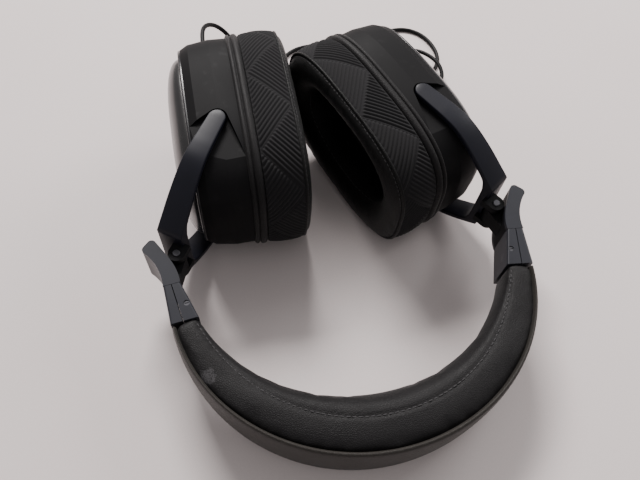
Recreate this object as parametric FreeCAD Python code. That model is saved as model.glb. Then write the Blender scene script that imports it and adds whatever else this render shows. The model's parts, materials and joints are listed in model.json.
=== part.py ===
import FreeCAD, Part
import math
import os
from FreeCAD import Matrix, Placement, Rotation, Vector

# A closed-back headset with a cable, lying on its side on a table.
# Units are millimetres. +Z is up from the table, +Y runs from the headband's crown to the ear
# cups along the headset's own symmetry line, and +X is the headset's right-hand cup.
# The headband's flat plane is tilted a little, because the wide cups lift that end. Most pieces
# are drawn in that plane as (u, v, w): u sideways, v from the crown to the cups, w across the band.

# ---------------------------------------------------------------- driving dimensions
ORIGIN_Y = 31.6           # from the band's centre to the middle of the headset's length
PLANE_TILT = 8.2          # headband plane above the table, degrees
BAND_RX = 84.5            # half-width of the band at its outer seam
BAND_RY = 80.5            # depth of the band's arc at its outer seam
CROWN_HALF_WIDTH = 17.6   # half the band's width at the crown
END_HALF_WIDTH = 12.0     # half the band's width at its ends
CROWN_PAD = 26.5          # radial thickness of the padded band at the crown
END_PAD = 11.5            # the same at the ends
COVER_BACK = 2.6          # cover strip, inwards from the seam line
COVER_CROWN = 1.6         # cover strip, outwards from the seam line
COVER_END = 0.6           # the same at the ends
SPRING_THICK = 1.2
SPRING_DEPTH = 3.2        # spring's outer face, inwards from the seam line
SPRING_HALF_WIDTH = 7.0
SPRING_END_V = -40.0
PRESS_GAP = 0.01          # between pieces that are fixed to each other
BAND_END_V = -9.0         # where the padding stops and the end caps start

SLIDER_LEAN = 9.0         # slider direction, degrees outwards from v
SLIDER_POINT = (81.2, 10.0)
SLIDER_BACK = 44.0        # strip length behind that point
SLIDER_FRONT = 7.0        # strip length inside the hinge housing
STRIP_THICK = 1.6
STRIP_WIDTH = 12.0
SLIDER_PLAY = 0.3
GUIDE_WALL = 1.1          # of the guide round the strip

CAP_TOP_V = 9.6           # joint line between end cap and hinge housing
CAP_OUTLINE = [(85.0, BAND_END_V + 0.1), (86.4, CAP_TOP_V), (78.6, CAP_TOP_V + 0.9), (72.4, BAND_END_V + 1.6)]
CAP_SPLIT = [(79.0, -9.4), (82.5, 10.2)]
CAP_GROOVE = 0.4          # open line between the cap's two halves
CAP_SCREW = (76.9, 0.0)
CAP_SCREW_R = 1.3
CAP_SCREW_HEAD = 1.2
CAP_SCREW_SHANK = 3.0
HOUSING_HALF_WIDTH = 12.0
HOUSING_OUTER = [(86.5, CAP_TOP_V + 0.15), (87.3, 17.0), (90.4, 24.0), (95.0, 29.4)]
HOUSING_INNER = [(78.7, CAP_TOP_V + 1.05), (79.8, 17.4), (83.0, 24.6), (89.0, 35.2)]
HOUSING_END_R = 2.2
LINER_HALF_WIDTH = 9.6
LUG_ROOT = [(0.4, -11.5), (3.2, -6.5), (5.2, -1.2), (2.9, 2.7), (-3.7, -1.5)]   # from the fold pin
FOLD_PIN = (79.0, 26.5)   # fold hinge in (u, v)
FOLD_PIN_R = 1.8
LUG_R = 4.0
LUG_HALF = 5.0
EAR_TOP = 9.4
PIN_PROUD = 0.5            # how far the fold pin stands out of each ear

YOKE_LEAN = 34.6          # how far each yoke leans in from v, degrees
YOKE_LENGTH = 60.0        # fold pin to cup pivot, along the yoke
YOKE_OFFSET = 7.2         # cup pivot beside that line, outwards
ARM_WIDTH = 8.6           # at the rounded tip
ARM_ROOT_WIDTH = 13.0     # where the arm meets the fork's base
ROOT_OFFSET = 4.9         # middle of the base beside the fold pin, outwards
ARM_THICK = 3.0
ARM_INNER = 34.4          # inner face of each arm at its pivot, from the middle plane
BASE_FRONT = 4.1          # front face of the fork's base, from the fold pin
BASE_BACK = 9.5
BASE_HALF_WIDTH = 16.5

TILT = {"left": 0.4, "right": 20.5}   # toe-in of each cup, degrees
CUP_DROP = 12.1           # cup centre beyond its pivot
PIVOT_DEPTH = 21.2        # pivot behind the cup's reference face
CUP_HALF_HEIGHT = 55.0
CUP_HALF_WIDTH = 38.2
CUP_SQUARENESS = 3.0      # exponent of the cup's oval outline
PAD_FRONT = -19.0
PAD_SEAM = -15.2
PAD_BACK = 4.1
FLANGE_BACK = 10.7
SHELL_BACK = 34.5
DOME_TOP = 45.0
WALL = 2.2
PAD_OPENING = (34.5, 20.5)
POCKET_FLOOR = 33.5
PIVOT_R = 2.0
PIVOT_HEAD_R = 3.0
BOSS_R = 7.0
BUSH_LENGTH = 4.5
SWING = (-14.0, 62.0)     # the pocket's reach to either side of the cup's length, degrees
BUSH_R = 4.0
RUNNING_FIT = 0.05

CORD_R = 1.3              # cable radius
CORD_FIRST_RUN = 15.0     # straight out of the strain relief
RELIEF_DEPTH = 22.0       # where the cable leaves the left cup, behind the reference face
RELIEF_W = -8.0
RELIEF_LENGTH = 14.0
COIL_CENTRE = (40.0, 141.4)
COIL_R = 14.6             # radius at the middle of the turns
COIL_TURNS_WIDE = 3
COIL_TURNS_HIGH = 3
COIL_PITCH = 2.6
STUB = 11.0               # straight lead into and out of the coil
PLUG_Z = 3.6

# The cable's route beyond its strain relief: down to the table behind the cups, along it in
# a loose loop, and into the coil. World coordinates, z is the cable's centre line.
CORD_ROUTE = [
    (-48.5, 153.9, 45.0), (-41.5, 160.9, 39.5), (-34.0, 159.4, 32.0),
    (-29.0, 152.9, 23.0), (-25.0, 147.4, 13.5), (-18.5, 146.9, 5.5), (-9.0, 153.9, 1.9),
    (-1.0, 164.9, 1.32), (8.5, 174.4, 1.32), (20.0, 177.4, 1.32), (32.0, 175.4, 1.32),
    (44.0, 171.4, 1.32), (56.0, 172.4, 1.32), (67.0, 178.4, 1.32), (79.0, 183.4, 1.32),
    (91.5, 183.4, 1.32), (101.0, 175.9, 1.32), (105.5, 163.9, 1.32), (106.0, 151.4, 1.32),
    (101.5, 140.4, 1.32), (93.0, 132.4, 1.32), (82.5, 129.4, 1.32), (73.0, 133.9, 1.32),
    (69.5, 143.9, 1.32), (74.0, 153.9, 1.9), (83.0, 158.4, 3.6), (92.0, 153.4, 6.4), (98.0, 144.9, 7.3),
    (101.5, 135.9, 7.0), (101.0, 126.4, 4.4), (94.0, 119.4, 1.9), (83.5, 117.9, 1.32),
    (72.0, 120.4, 1.32),
]

SIDES = ("left", "right")
NODES = {}


def vec(x, y, z=0.0):
    return Vector(x, y, z)


def keep(name, shape):
    NODES[name] = shape


# ---------------------------------------------------------------- frames
tilt_sin = math.sin(math.radians(PLANE_TILT))
tilt_cos = math.cos(math.radians(PLANE_TILT))
PLANE_HEIGHT = (BAND_RY + COVER_CROWN) * tilt_sin + CROWN_HALF_WIDTH * tilt_cos + 0.1
PLANE = Placement(vec(0, -ORIGIN_Y, PLANE_HEIGHT), Rotation(vec(1, 0, 0), PLANE_TILT))


def turned(angle, point):
    """A frame turned by angle in the band's plane, with its origin at point (u, v)."""
    return Placement(vec(point[0], point[1]), Rotation(vec(0, 0, 1), angle))


YOKE_FRAME = turned(YOKE_LEAN, FOLD_PIN)
CUP_PIVOT = YOKE_FRAME.multVec(vec(YOKE_OFFSET, YOKE_LENGTH))
SLIDER_FRAME = turned(-SLIDER_LEAN, SLIDER_POINT)
GUIDE_FRONT = BAND_END_V - SLIDER_POINT[1] + 1.5
FAR = 130.0               # beyond every piece of the band


def cup_frame(side):
    return turned(TILT[side], (CUP_PIVOT.x, CUP_PIVOT.y))


def moved(shape, placement):
    copy = shape.copy()
    copy.transformShape(placement.toMatrix(), True)
    return copy


def to_world(shape, side="right"):
    """Put a shape drawn in (u, v, w) into the world, mirrored for the left side."""
    if side == "left":
        shape = shape.mirror(vec(0, 0), vec(1, 0))
    return moved(shape, PLANE)


# ---------------------------------------------------------------- shape helpers
def box(x0, x1, y0, y1, z0, z1):
    return Part.makeBox(x1 - x0, y1 - y0, z1 - z0, vec(x0, y0, z0))


def rod(radius, start, end):
    start, end = Vector(*start), Vector(*end)
    return Part.makeCylinder(radius, (end - start).Length, start, end - start)


def prism(points, z0, z1):
    """A flat outline of straight edges in x and y, extruded from z0 to z1."""
    corners = [vec(x, y, z0) for x, y in points]
    face = Part.Face(Part.makePolygon(corners + corners[:1]))
    return face.extrude(vec(0, 0, z1 - z0))


def strip(outer, inner, z0, z1):
    """A prism between two smooth curves, each given by its few points."""
    sides = []
    for points in (outer, inner):
        curve = Part.BSplineCurve()
        curve.interpolate([vec(x, y, z0) for x, y in points])
        sides.append(curve.toShape())
    ends = [Part.makeLine(vec(*outer[-1], z0), vec(*inner[-1], z0)),
            Part.makeLine(vec(*inner[0], z0), vec(*outer[0], z0))]
    wire = Part.Wire(Part.__sortEdges__(sides + ends))
    return Part.Face(wire).extrude(vec(0, 0, z1 - z0))


def softened(shape, radius, wanted):
    """Round the edges that wanted(edge) picks, and leave the shape alone if that fails."""
    edges = [edge for edge in shape.Edges if wanted(edge)]
    try:
        rounded = shape.makeFillet(radius, edges)
        if rounded.isValid() and rounded.Volume > 0.5 * shape.Volume:
            return rounded
    except Part.OCCError:
        pass
    print("left square:", len(edges), "edges at", radius)
    return shape


def level_edge(edge):
    """True for an edge that lies in one w level."""
    return edge.BoundBox.ZLength < 0.01


def oval(depth, half_height, half_width, squareness=CUP_SQUARENESS, count=32):
    """The cup's outline, a squared oval, in the plane at one depth behind the reference face."""
    power = 2.0 / squareness
    points = []
    for index in range(count):
        angle = 2.0 * math.pi * index / count
        high, wide = math.cos(angle), math.sin(angle)
        height = half_height * math.copysign(abs(high) ** power, high)
        width = half_width * math.copysign(abs(wide) ** power, wide)
        points.append(vec(depth - PIVOT_DEPTH, CUP_DROP + height, width))
    curve = Part.BSplineCurve()
    curve.interpolate(points, PeriodicFlag=True)
    return Part.Wire(curve.toShape())


def oval_block(rings):
    """A closed solid through ovals, each (depth, inset from the cup's full outline)."""
    wires = [oval(depth, CUP_HALF_HEIGHT - inset, CUP_HALF_WIDTH - inset) for depth, inset in rings]
    return Part.makeLoft(wires, True, True)


def opening_block(depth0, depth1, half_height, half_width):
    wires = [oval(depth, half_height, half_width, 2.4) for depth in (depth0, depth1)]
    return Part.makeLoft(wires, True, True)


def disc(radius, depth0, depth1, height=0.0, width=0.0):
    """A round plug along the cup's depth, centred on the cup."""
    y = CUP_DROP + height
    return rod(radius, (depth0 - PIVOT_DEPTH, y, width), (depth1 - PIVOT_DEPTH, y, width))


# ---------------------------------------------------------------- headband
def band_ring(out0, out1, half_crown, half_end, v_end):
    """The part of the band between two offsets from the seam, for one whole arc.

    The offsets are (crown, end) pairs, so a layer can grow thinner towards the ends."""
    sections = []
    count = 17
    end_angle = math.acos(-v_end / BAND_RY)
    for index in range(count):
        angle = -end_angle + 2.0 * end_angle * index / (count - 1)
        share = 1.0 - math.cos(angle)
        half = half_crown + (half_end - half_crown) * share
        centre = vec(BAND_RX * math.sin(angle), -BAND_RY * math.cos(angle))
        normal = vec(math.sin(angle) / BAND_RX, -math.cos(angle) / BAND_RY)
        normal.normalize()
        corners = []
        for offsets, level in ((out0, -half), (out0, half), (out1, half), (out1, -half)):
            offset = offsets[0] + (offsets[1] - offsets[0]) * share
            corners.append(centre + normal * offset + vec(0, 0, level))
        sections.append(Part.makePolygon(corners + corners[:1]))
    return Part.makeLoft(sections, True, False)


def spring_ring(gap, v_end):
    """The spring's own arc, grown by gap on every side."""
    top = SPRING_DEPTH - gap
    under = SPRING_DEPTH + SPRING_THICK + gap
    half = SPRING_HALF_WIDTH + gap
    return band_ring((-top, -top), (-under, -under), half, half, v_end)


def build_headband():
    pad = band_ring((-COVER_BACK, -COVER_BACK), (-CROWN_PAD, -END_PAD),
                    CROWN_HALF_WIDTH, END_HALF_WIDTH, BAND_END_V)
    cover = band_ring((COVER_CROWN, COVER_END), (-COVER_BACK, -COVER_BACK),
                      CROWN_HALF_WIDTH, END_HALF_WIDTH, BAND_END_V)
    spring = spring_ring(0.0, SPRING_END_V)
    pad = pad.cut(spring_ring(PRESS_GAP, SPRING_END_V + 0.1))
    for side in SIDES:
        room = guide_block()
        if side == "left":
            room = room.mirror(vec(0, 0), vec(1, 0))
        pad = pad.cut(room)
        cover = cover.cut(room)
        spring = spring.cut(room)
    keep("headband_pad", moved(pad, PLANE))
    keep("headband_cover", moved(cover, PLANE))
    keep("headband_spring", moved(spring, PLANE))


def slider_block(half_thick, half_wide, back, front):
    """A bar along the slider's direction, in (u, v, w)."""
    return moved(box(-half_thick, half_thick, back, front, -half_wide, half_wide), SLIDER_FRAME)


def guide_block(gap=0.0):
    """The outside of the guide that the strip slides in."""
    half_thick = STRIP_THICK / 2 + SLIDER_PLAY + GUIDE_WALL + gap
    half_wide = STRIP_WIDTH / 2 + SLIDER_PLAY + GUIDE_WALL + gap
    return slider_block(half_thick, half_wide, -SLIDER_BACK - GUIDE_WALL, GUIDE_FRONT)


def slider_room():
    """The free channel that the strip runs in."""
    return slider_block(STRIP_THICK / 2 + SLIDER_PLAY, STRIP_WIDTH / 2 + SLIDER_PLAY, -SLIDER_BACK - 0.6, 1.0)


def cap_half(offset):
    """Everything outwards of the end cap's split line, which is moved outwards by offset."""
    (u0, v0), (u1, v1) = CAP_SPLIT
    lean_u, lean_v = (u1 - u0) / 2, (v1 - v0) / 2
    return prism([(u0 - lean_u + offset, v0 - lean_v), (u1 + lean_u + offset, v1 + lean_v),
                  (FAR, v1 + lean_v), (FAR, v0 - lean_v)], -END_HALF_WIDTH - 10, END_HALF_WIDTH + 10)


def build_end_cap(side):
    """A cap in two halves, with one screw in each flat side."""
    block = prism(CAP_OUTLINE, -HOUSING_HALF_WIDTH, HOUSING_HALF_WIDTH)
    block = softened(block, 1.0, lambda edge: level_edge(edge) and edge.BoundBox.YLength > 15)
    block = block.cut(guide_block(PRESS_GAP)).cut(slider_room())
    outer = block.common(cap_half(CAP_GROOVE))
    inner = block.cut(cap_half(0.0))
    screws = []
    u, v = CAP_SCREW
    for up in (1, -1):
        top = up * (HOUSING_HALF_WIDTH - 0.4)
        under_head = top - up * CAP_SCREW_HEAD
        tip = under_head - up * CAP_SCREW_SHANK
        head = rod(CAP_SCREW_R, (u, v, under_head), (u, v, top))
        shank = rod(0.7, (u, v, tip), (u, v, under_head))
        low, high = sorted((top, top - up * 0.5))
        screws.append(head.fuse(shank).cut(box(u - 1.0, u + 1.0, v - 0.2, v + 0.2, low, high)))
        inner = inner.cut(rod(CAP_SCREW_R + 0.05, (u, v, under_head), (u, v, top + up * 3)))
        inner = inner.cut(rod(0.72, (u, v, tip - up * 0.1), (u, v, under_head)))
    keep("end_cap_outer_" + side, to_world(outer, side))
    keep("end_cap_inner_" + side, to_world(inner, side))
    keep("end_cap_screws_" + side, to_world(Part.makeCompound(screws), side))


def build_slider(side):
    keep("slider_guide_" + side, to_world(guide_block().cut(slider_room()), side))
    strip_bar = slider_block(STRIP_THICK / 2, STRIP_WIDTH / 2, -SLIDER_BACK, SLIDER_FRONT)
    keep("slider_strip_" + side, to_world(strip_bar, side))
    return strip_bar


def build_hinge_housing(side, strip_bar):
    """The flared end piece: an outer shell, an inner liner, and the lug that holds the fold pin."""
    block = strip(HOUSING_OUTER, HOUSING_INNER, -HOUSING_HALF_WIDTH, HOUSING_HALF_WIDTH)
    block = softened(block, HOUSING_END_R, lambda edge: edge.BoundBox.ZLength > 20 and edge.BoundBox.YMin > 28)
    liner_back = [(u + 1.9, v - 0.4) for u, v in HOUSING_INNER]
    liner_front = [(u - 4.0, v + 1.5) for u, v in HOUSING_INNER]
    liner = block.common(strip(liner_back, liner_front, -LINER_HALF_WIDTH, LINER_HALF_WIDTH))
    shell = block.cut(liner)
    pin_u, pin_v = FOLD_PIN
    lug = prism([(pin_u + du, pin_v + dv) for du, dv in LUG_ROOT], -LUG_HALF, LUG_HALF)
    lug = lug.fuse(rod(LUG_R, (pin_u, pin_v, -LUG_HALF), (pin_u, pin_v, LUG_HALF))).removeSplitter()
    liner = liner.cut(lug)
    shell = shell.cut(lug)
    lug = lug.cut(rod(FOLD_PIN_R + PRESS_GAP, (pin_u, pin_v, -EAR_TOP), (pin_u, pin_v, EAR_TOP)))
    liner, shell, lug = [piece.cut(strip_bar) for piece in (liner, shell, lug)]
    pin_end = EAR_TOP + PIN_PROUD
    pin = softened(rod(FOLD_PIN_R, (pin_u, pin_v, -pin_end), (pin_u, pin_v, pin_end)), 0.4, level_edge)
    keep("hinge_housing_" + side, to_world(shell, side))
    keep("hinge_liner_" + side, to_world(liner, side))
    keep("hinge_lug_" + side, to_world(lug, side))
    keep("fold_pin_" + side, to_world(pin, side))


# ---------------------------------------------------------------- yoke
def fork_profile():
    """The fork seen from its flat side, as (y, w): straight arms that bow in near the cup."""
    outer_w = ARM_INNER + ARM_THICK
    outside = [(BASE_FRONT, BASE_HALF_WIDTH), (10.0, 21.2), (17.0, 26.6), (24.0, 31.2), (30.0, 34.4),
               (36.0, 36.5), (43.0, outer_w - 0.1), (YOKE_LENGTH, outer_w)]
    inside = [(BASE_BACK, BASE_HALF_WIDTH - 5.0), (11.8, 18.8), (18.7, 24.1), (25.5, 28.6), (31.2, 31.7),
              (36.7, 33.6), (43.0, ARM_INNER - 0.1), (YOKE_LENGTH, ARM_INNER)]
    tip = YOKE_LENGTH + ARM_WIDTH / 2
    half = outside + [(tip, outer_w), (tip, ARM_INNER)] + list(reversed(inside))
    return half + [(y, -w) for y, w in reversed(half)]


def build_yoke(side):
    """A fork in one piece, drawn with its fold pin at the origin and its length along y."""
    half_tip = ARM_WIDTH / 2
    half_root = ARM_ROOT_WIDTH / 2
    pivot = (YOKE_OFFSET, YOKE_LENGTH)
    reach = 50.0
    corners = [vec(-reach, y, w) for y, w in fork_profile()]
    fork = Part.Face(Part.makePolygon(corners + corners[:1])).extrude(vec(2 * reach, 0, 0))
    edge = prism([(ROOT_OFFSET - half_root, BASE_FRONT), (ROOT_OFFSET + half_root, BASE_FRONT),
                  (YOKE_OFFSET + half_tip, YOKE_LENGTH), (YOKE_OFFSET - half_tip, YOKE_LENGTH)], -reach, reach)
    edge = edge.fuse(rod(half_tip, (*pivot, -reach), (*pivot, reach)))
    yoke = fork.common(edge).removeSplitter()
    lug_room = rod(LUG_R + 0.8, (0, 0, -LUG_HALF - 0.4), (0, 0, LUG_HALF + 0.4))
    ears = []
    for up in (1, -1):
        low, high = sorted((up * (LUG_HALF + 0.4), up * EAR_TOP))
        ear = rod(LUG_R, (0, 0, low), (0, 0, high))
        ear = ear.fuse(box(-LUG_R, LUG_R, 0, 6.0, low, high))
        ears.append(ear.cut(rod(FOLD_PIN_R + RUNNING_FIT, (0, 0, -reach), (0, 0, reach))))
    bridge = box(ROOT_OFFSET - half_root + 1.5, ROOT_OFFSET + half_root - 2.6, BASE_FRONT + 0.9, BASE_BACK - 1.5,
                 -EAR_TOP - 1.5, EAR_TOP + 1.5)
    knuckle = ears[0].fuse([ears[1], bridge]).removeSplitter().cut(lug_room)
    yoke = yoke.cut(lug_room).cut(knuckle)
    screws = []
    for up in (1, -1):
        head_top = up * (ARM_INNER + ARM_THICK - 0.5)
        head_base = up * (ARM_INNER + ARM_THICK - 1.5)
        head = rod(PIVOT_HEAD_R, (*pivot, head_base), (*pivot, head_top))
        shank = rod(PIVOT_R, (*pivot, up * (POCKET_FLOOR - 4.4)), (*pivot, head_base))
        screws.append(head.fuse(shank))
        yoke = yoke.cut(rod(PIVOT_HEAD_R + 0.03, (*pivot, head_base), (*pivot, up * reach)))
        yoke = yoke.cut(rod(PIVOT_R + PRESS_GAP, (*pivot, up * 20), (*pivot, up * reach)))
    keep("yoke_" + side, to_world(moved(yoke, YOKE_FRAME), side))
    keep("knuckle_" + side, to_world(moved(knuckle, YOKE_FRAME), side))
    keep("pivot_screws_" + side, to_world(moved(Part.makeCompound(screws), YOKE_FRAME), side))


# ---------------------------------------------------------------- ear cup
def pocket_fan(low, up):
    """The recess that one yoke arm swings in, drawn round the cup pivot."""
    reach = 70.0
    half = ARM_WIDTH / 2 + 0.9
    steps = 8
    fan = [(0.0, 0.0)]
    for index in range(steps + 1):
        angle = math.radians(SWING[0] + (SWING[1] - SWING[0]) * index / steps)
        fan.append((reach * math.sin(angle), -reach * math.cos(angle)))
    pieces = [rod(half, (0, 0, low), (0, 0, up))]
    for angle in SWING:
        arm = box(-half, half, -reach, 0, low, up)
        arm.rotate(vec(0, 0), vec(0, 0, 1), angle)
        pieces.append(arm)
    return prism(fan, low, up).fuse(pieces).removeSplitter()


def build_cup(side):
    frame = cup_frame(side)

    def place(name, shape):
        keep(name + "_" + side, to_world(moved(shape, frame), side))

    # cushion: a padded ring, open in the middle
    pad = oval_block([(PAD_BACK, 0.6), (-6.0, -0.3), (PAD_SEAM, 1.0), (PAD_FRONT + 1.2, 5.0), (PAD_FRONT, 9.5)])
    pad = pad.cut(opening_block(PAD_FRONT - 5, PAD_BACK + 5, *PAD_OPENING))
    place("ear_pad", pad)

    # rim that carries the cushion
    flange = oval_block([(PAD_BACK, 0.4), (PAD_BACK + 1.6, -0.3), (FLANGE_BACK - 1.6, -0.3), (FLANGE_BACK, 0.6)])
    flange = flange.cut(oval_block([(PAD_BACK - 5, 5.2), (FLANGE_BACK + 5, 5.2)]))
    place("cushion_rim", flange)

    # shell, with a pocket for each arm of the yoke
    outer = oval_block([(FLANGE_BACK, 1.4), (FLANGE_BACK + 9, 1.2), (SHELL_BACK - 4, 2.6), (SHELL_BACK, 4.6)])
    inner = oval_block([(FLANGE_BACK - 5, 5.6), (SHELL_BACK - WALL, 7.4)])
    for sign in (1, -1):
        low, up = sorted((sign * POCKET_FLOOR, sign * 60.0))
        outer = outer.cut(pocket_fan(low, up))
    shell = outer.cut(inner)
    inside = oval_block([(FLANGE_BACK + 0.5, 2.5), (SHELL_BACK - WALL, 5.0)])
    bushes = []
    for sign in (1, -1):
        foot = sign * (POCKET_FLOOR - BUSH_LENGTH - 0.1)
        face = sign * POCKET_FLOOR
        shell = shell.fuse(rod(BOSS_R, (0, 0, foot), (0, 0, face)).common(inside)).removeSplitter()
        shell = shell.cut(rod(BUSH_R + PRESS_GAP, (0, 0, foot - sign * 10), (0, 0, face + sign * 20)))
        bush = rod(BUSH_R, (0, 0, foot), (0, 0, face - sign * 0.1))
        bushes.append(bush.cut(rod(PIVOT_R + RUNNING_FIT, (0, 0, foot - sign * 10), (0, 0, face + sign * 20))))
    place("pivot_bushes", Part.makeCompound(bushes))
    place("cup_shell", shell)

    trim = oval_block([(SHELL_BACK, 4.9), (SHELL_BACK + 1.4, 5.3)])
    trim = trim.cut(oval_block([(SHELL_BACK - 1, 8.2), (SHELL_BACK + 3, 8.2)]))
    place("trim_ring", trim)
    dome = oval_block([(SHELL_BACK, 8.3), (SHELL_BACK + 2.0, 8.5), (SHELL_BACK + 5.0, 11.0),
                       (SHELL_BACK + 8.0, 17.0), (SHELL_BACK + 9.8, 25.0), (DOME_TOP, 33.0)])
    hollow = oval_block([(SHELL_BACK - 1, 10.5), (SHELL_BACK + 2.5, 11.5), (SHELL_BACK + 5.5, 19.0),
                         (SHELL_BACK + 7.4, 30.0)])
    place("outer_cover", dome.cut(hollow))

    # inside: baffle, driver and its mesh, fixed by four screws
    baffle = oval_block([(PAD_BACK + 0.6, 5.4), (PAD_BACK + 3.0, 5.4)])
    baffle = baffle.cut(disc(22.5, PAD_BACK - 5, PAD_BACK + 9))
    screws = []
    for height in (-38.0, 38.0):
        for width in (-18.0, 18.0):
            shank = disc(1.2, PAD_BACK + 0.6, PAD_BACK + 9.0, height, width)
            head = disc(2.4, PAD_BACK + 0.05, PAD_BACK + 0.6, height, width)
            screws.append(head.fuse(shank))
            baffle = baffle.cut(disc(1.22, PAD_BACK - 5, PAD_BACK + 12, height, width))
    place("baffle", baffle)
    place("baffle_screws", Part.makeCompound(screws))
    ring = disc(25.0, PAD_BACK + 3.0, PAD_BACK + 7.0).cut(disc(21.5, PAD_BACK, PAD_BACK + 5.5))
    ring = ring.cut(disc(12.0, PAD_BACK, PAD_BACK + 9))
    place("driver_frame", ring)
    place("driver_diaphragm", disc(21.4, PAD_BACK + 3.6, PAD_BACK + 4.0))
    place("driver_magnet", disc(15.0, PAD_BACK + 7.0, PAD_BACK + 14.0))
    mesh = opening_block(PAD_BACK - 1.4, PAD_BACK - 0.9, PAD_OPENING[0] - 0.1, PAD_OPENING[1] - 0.1)
    place("driver_mesh", mesh)


def build_left_extras():
    """What only the cabled cup has: its circuit board, and the strain relief at its far end."""
    board = box(27.4 - PIVOT_DEPTH, 29.0 - PIVOT_DEPTH, CUP_DROP + 4, CUP_DROP + 36, -16, 16)
    keep("circuit_board", to_world(moved(board, cup_frame("left")), "left"))
    x = RELIEF_DEPTH - PIVOT_DEPTH
    wall = CUP_DROP + CUP_HALF_HEIGHT - 2.2
    hole = rod(3.02, (x, wall - 12, RELIEF_W), (x, wall + 20, RELIEF_W))
    collar = rod(3.0, (x, wall - 6.4, RELIEF_W), (x, wall + 2.0, RELIEF_W))
    flange = rod(4.2, (x, wall - 6.4, RELIEF_W), (x, wall - 5.3, RELIEF_W))
    tail = Part.makeCone(3.0, CORD_R + 0.5, RELIEF_LENGTH - 2.0, vec(x, wall + 2.0, RELIEF_W), vec(0, 1, 0))
    relief = flange.fuse([collar, tail]).removeSplitter()
    keep("strain_relief", to_world(moved(relief, cup_frame("left")), "left"))
    tips = [to_world(moved(Part.Vertex(x, wall + RELIEF_LENGTH + way, RELIEF_W), cup_frame("left")), "left").Point
            for way in (0.0, CORD_FIRST_RUN)]
    return hole, tips


# ---------------------------------------------------------------- cable
def rounded_path(points):
    """Straight runs joined by tangent arcs, each as large as its two runs allow."""
    edges, radii = [], []
    last = points[0]
    for before, corner, after in zip(points, points[1:], points[2:]):
        to_before, to_after = before - corner, after - corner
        shorter = min(to_before.Length, to_after.Length)
        half_turn = (math.pi - to_before.getAngle(to_after)) / 2.0
        reach = 0.45 * shorter
        radii.append(reach / math.tan(half_turn))
        start = corner + to_before.normalize() * reach
        end = corner + to_after.normalize() * reach
        middle_line = (start + end) * 0.5 - corner
        radius = radii[-1]
        bulge = math.hypot(radius, reach) - radius
        middle = corner + middle_line.normalize() * bulge
        edges.append(Part.makeLine(last, start))
        edges.append(Part.Arc(start, middle, end).toShape())
        last = end
    edges.append(Part.makeLine(last, points[-1]))
    return Part.Wire(edges), radii


def build_cable(tips):
    level = CORD_R + 0.02
    turn_radius = COIL_R + COIL_PITCH * (COIL_TURNS_WIDE - 1) / 2
    entry = vec(COIL_CENTRE[0] + STUB, COIL_CENTRE[1] - turn_radius, level)
    points = tips + [Vector(*point) for point in CORD_ROUTE] + [entry + vec(STUB, 0), entry]
    path, radii = rounded_path(points)
    start_way = points[1] - points[0]
    ring = Part.Wire(Part.makeCircle(CORD_R, points[0], start_way))
    tube = path.makePipeShell([ring], True, False, 1)
    keep("cable", tube)
    print("cable radii", [round(radius, 1) for radius in radii])
    print("cable tube", round(path.Length, 1), "volume ratio",
          round(tube.Volume / (path.Length * math.pi * CORD_R ** 2), 4))

    inside = COIL_R - COIL_PITCH * COIL_TURNS_WIDE / 2
    outside = COIL_R + COIL_PITCH * COIL_TURNS_WIDE / 2
    height = COIL_PITCH * COIL_TURNS_HIGH
    centre = vec(*COIL_CENTRE, 0.02)
    coil = Part.makeCylinder(outside, height, centre).cut(Part.makeCylinder(inside, height, centre))
    coil = softened(coil, 1.2, level_edge)
    plug_z = PLUG_Z + 0.02
    lead_in = rod(CORD_R, (COIL_CENTRE[0], entry.y, level), tuple(entry))
    lead_out = rod(CORD_R, (COIL_CENTRE[0], entry.y, plug_z), (COIL_CENTRE[0] - STUB, entry.y, plug_z))
    coil = coil.fuse([lead_in, lead_out]).removeSplitter()
    turns = COIL_TURNS_WIDE * COIL_TURNS_HIGH - 1
    print("coil holds", round(turns * 2 * math.pi * COIL_R), "mm in", turns, "turns round an empty middle")
    tie_at = COIL_CENTRE[1] + COIL_R
    half = COIL_PITCH * COIL_TURNS_WIDE / 2 + 1.0
    tie = box(COIL_CENTRE[0] - 3, COIL_CENTRE[0] + 3, tie_at - half, tie_at + half, 0.02, height + 1.0)
    keep("cable_tie", tie.cut(coil))
    keep("cable_coil", coil)

    def along(x):
        return (COIL_CENTRE[0] - STUB - x, entry.y, plug_z)

    boot = Part.makeCone(CORD_R + 0.5, 2.8, 9.0, vec(*along(0.0)), vec(-1, 0, 0))
    body = softened(rod(3.5, along(9.0), along(27.0)), 0.8, lambda edge: edge.BoundBox.XLength < 0.01)
    keep("plug_body", boot.fuse(body).removeSplitter())
    contact = rod(1.75, along(27.0), along(38.5))
    contact = contact.fuse(Part.makeCone(1.25, 1.75, 1.0, vec(*along(38.5)), vec(-1, 0, 0)))
    contact = contact.fuse(Part.makeCone(1.75, 0.7, 1.5, vec(*along(39.5)), vec(-1, 0, 0)))
    keep("plug_contact", contact.removeSplitter())


def main():
    os.makedirs("parts", exist_ok=True)
    build_headband()
    for side in SIDES:
        build_end_cap(side)
        strip_bar = build_slider(side)
        build_hinge_housing(side, strip_bar)
        build_yoke(side)
        build_cup(side)
        if side == "left":
            hole, tips = build_left_extras()
            hole = to_world(moved(hole, cup_frame(side)), side)
            keep("cup_shell_left", NODES["cup_shell_left"].cut(hole))
            build_cable(tips)
    for name, shape in NODES.items():
        shape.exportStep(os.path.join("parts", name + ".step"))
        size = shape.BoundBox
        print(name, len(shape.Solids), shape.isValid(), round(shape.Volume, 1),
              [round(value, 1) for value in (size.XMin, size.XMax, size.YMin, size.YMax, size.ZMin, size.ZMax)])


main()
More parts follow.
